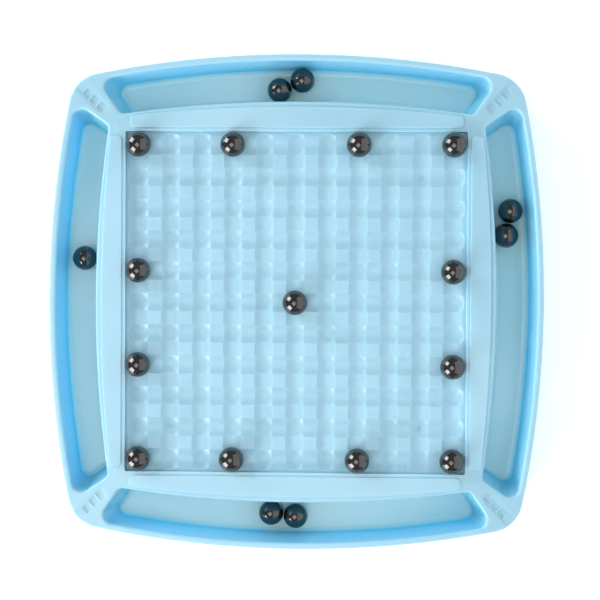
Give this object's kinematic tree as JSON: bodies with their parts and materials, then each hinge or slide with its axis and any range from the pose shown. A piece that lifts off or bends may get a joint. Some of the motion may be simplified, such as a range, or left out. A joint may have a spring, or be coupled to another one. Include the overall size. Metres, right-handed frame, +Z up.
{
  "type": "magnetic ball game tray",
  "caption": "Square bowed game tray in pale blue plastic with a dimpled playing field, a storage trough along each side and loose black magnetic balls.",
  "frame": {"origin": "centre of the tray's outline, on the surface that the tray stands on", "axes": "+Z up out of the playing field, +Y towards the far side of the tray, +X to the right"},
  "size_m": [0.2518, 0.2518, 0.0359],
  "materials": {
    "tray_plastic": "satin",
    "ball_magnet": "polished"
  },
  "bodies": {
    "tray": {"tray": "tray_plastic"},
    "field_ball_01": {"field_ball_01": "ball_magnet"},
    "field_ball_02": {"field_ball_02": "ball_magnet"},
    "field_ball_03": {"field_ball_03": "ball_magnet"},
    "field_ball_04": {"field_ball_04": "ball_magnet"},
    "field_ball_05": {"field_ball_05": "ball_magnet"},
    "field_ball_06": {"field_ball_06": "ball_magnet"},
    "field_ball_07": {"field_ball_07": "ball_magnet"},
    "field_ball_08": {"field_ball_08": "ball_magnet"},
    "field_ball_09": {"field_ball_09": "ball_magnet"},
    "field_ball_10": {"field_ball_10": "ball_magnet"},
    "field_ball_11": {"field_ball_11": "ball_magnet"},
    "field_ball_12": {"field_ball_12": "ball_magnet"},
    "field_ball_13": {"field_ball_13": "ball_magnet"},
    "trough_ball_01": {"trough_ball_01": "ball_magnet"},
    "trough_ball_02": {"trough_ball_02": "ball_magnet"},
    "trough_ball_03": {"trough_ball_03": "ball_magnet"},
    "trough_ball_04": {"trough_ball_04": "ball_magnet"},
    "trough_ball_05": {"trough_ball_05": "ball_magnet"},
    "trough_ball_06": {"trough_ball_06": "ball_magnet"},
    "trough_ball_07": {"trough_ball_07": "ball_magnet"}
  },
  "joints": [
    {"name": "field_ball_01_lift", "type": "slide", "parent": "tray", "child": "field_ball_01", "axis": [0, 0, 1], "range_m": [0, 0.06]},
    {"name": "field_ball_02_lift", "type": "slide", "parent": "tray", "child": "field_ball_02", "axis": [0, 0, 1], "range_m": [0, 0.06]},
    {"name": "field_ball_03_lift", "type": "slide", "parent": "tray", "child": "field_ball_03", "axis": [0, 0, 1], "range_m": [0, 0.06]},
    {"name": "field_ball_04_lift", "type": "slide", "parent": "tray", "child": "field_ball_04", "axis": [0, 0, 1], "range_m": [0, 0.06]},
    {"name": "field_ball_05_lift", "type": "slide", "parent": "tray", "child": "field_ball_05", "axis": [0, 0, 1], "range_m": [0, 0.06]},
    {"name": "field_ball_06_lift", "type": "slide", "parent": "tray", "child": "field_ball_06", "axis": [0, 0, 1], "range_m": [0, 0.06]},
    {"name": "field_ball_07_lift", "type": "slide", "parent": "tray", "child": "field_ball_07", "axis": [0, 0, 1], "range_m": [0, 0.06]},
    {"name": "field_ball_08_lift", "type": "slide", "parent": "tray", "child": "field_ball_08", "axis": [0, 0, 1], "range_m": [0, 0.06]},
    {"name": "field_ball_09_lift", "type": "slide", "parent": "tray", "child": "field_ball_09", "axis": [0, 0, 1], "range_m": [0, 0.06]},
    {"name": "field_ball_10_lift", "type": "slide", "parent": "tray", "child": "field_ball_10", "axis": [0, 0, 1], "range_m": [0, 0.06]},
    {"name": "field_ball_11_lift", "type": "slide", "parent": "tray", "child": "field_ball_11", "axis": [0, 0, 1], "range_m": [0, 0.06]},
    {"name": "field_ball_12_lift", "type": "slide", "parent": "tray", "child": "field_ball_12", "axis": [0, 0, 1], "range_m": [0, 0.06]},
    {"name": "field_ball_13_lift", "type": "slide", "parent": "tray", "child": "field_ball_13", "axis": [0, 0, 1], "range_m": [0, 0.06]},
    {"name": "trough_ball_01_lift", "type": "slide", "parent": "tray", "child": "trough_ball_01", "axis": [0, 0, 1], "range_m": [0, 0.06]},
    {"name": "trough_ball_02_lift", "type": "slide", "parent": "tray", "child": "trough_ball_02", "axis": [0, 0, 1], "range_m": [0, 0.06]},
    {"name": "trough_ball_03_lift", "type": "slide", "parent": "tray", "child": "trough_ball_03", "axis": [0, 0, 1], "range_m": [0, 0.06]},
    {"name": "trough_ball_04_lift", "type": "slide", "parent": "tray", "child": "trough_ball_04", "axis": [0, 0, 1], "range_m": [0, 0.06]},
    {"name": "trough_ball_05_lift", "type": "slide", "parent": "tray", "child": "trough_ball_05", "axis": [0, 0, 1], "range_m": [0, 0.06]},
    {"name": "trough_ball_06_lift", "type": "slide", "parent": "tray", "child": "trough_ball_06", "axis": [0, 0, 1], "range_m": [0, 0.06]},
    {"name": "trough_ball_07_lift", "type": "slide", "parent": "tray", "child": "trough_ball_07", "axis": [0, 0, 1], "range_m": [0, 0.06]}
  ]
}
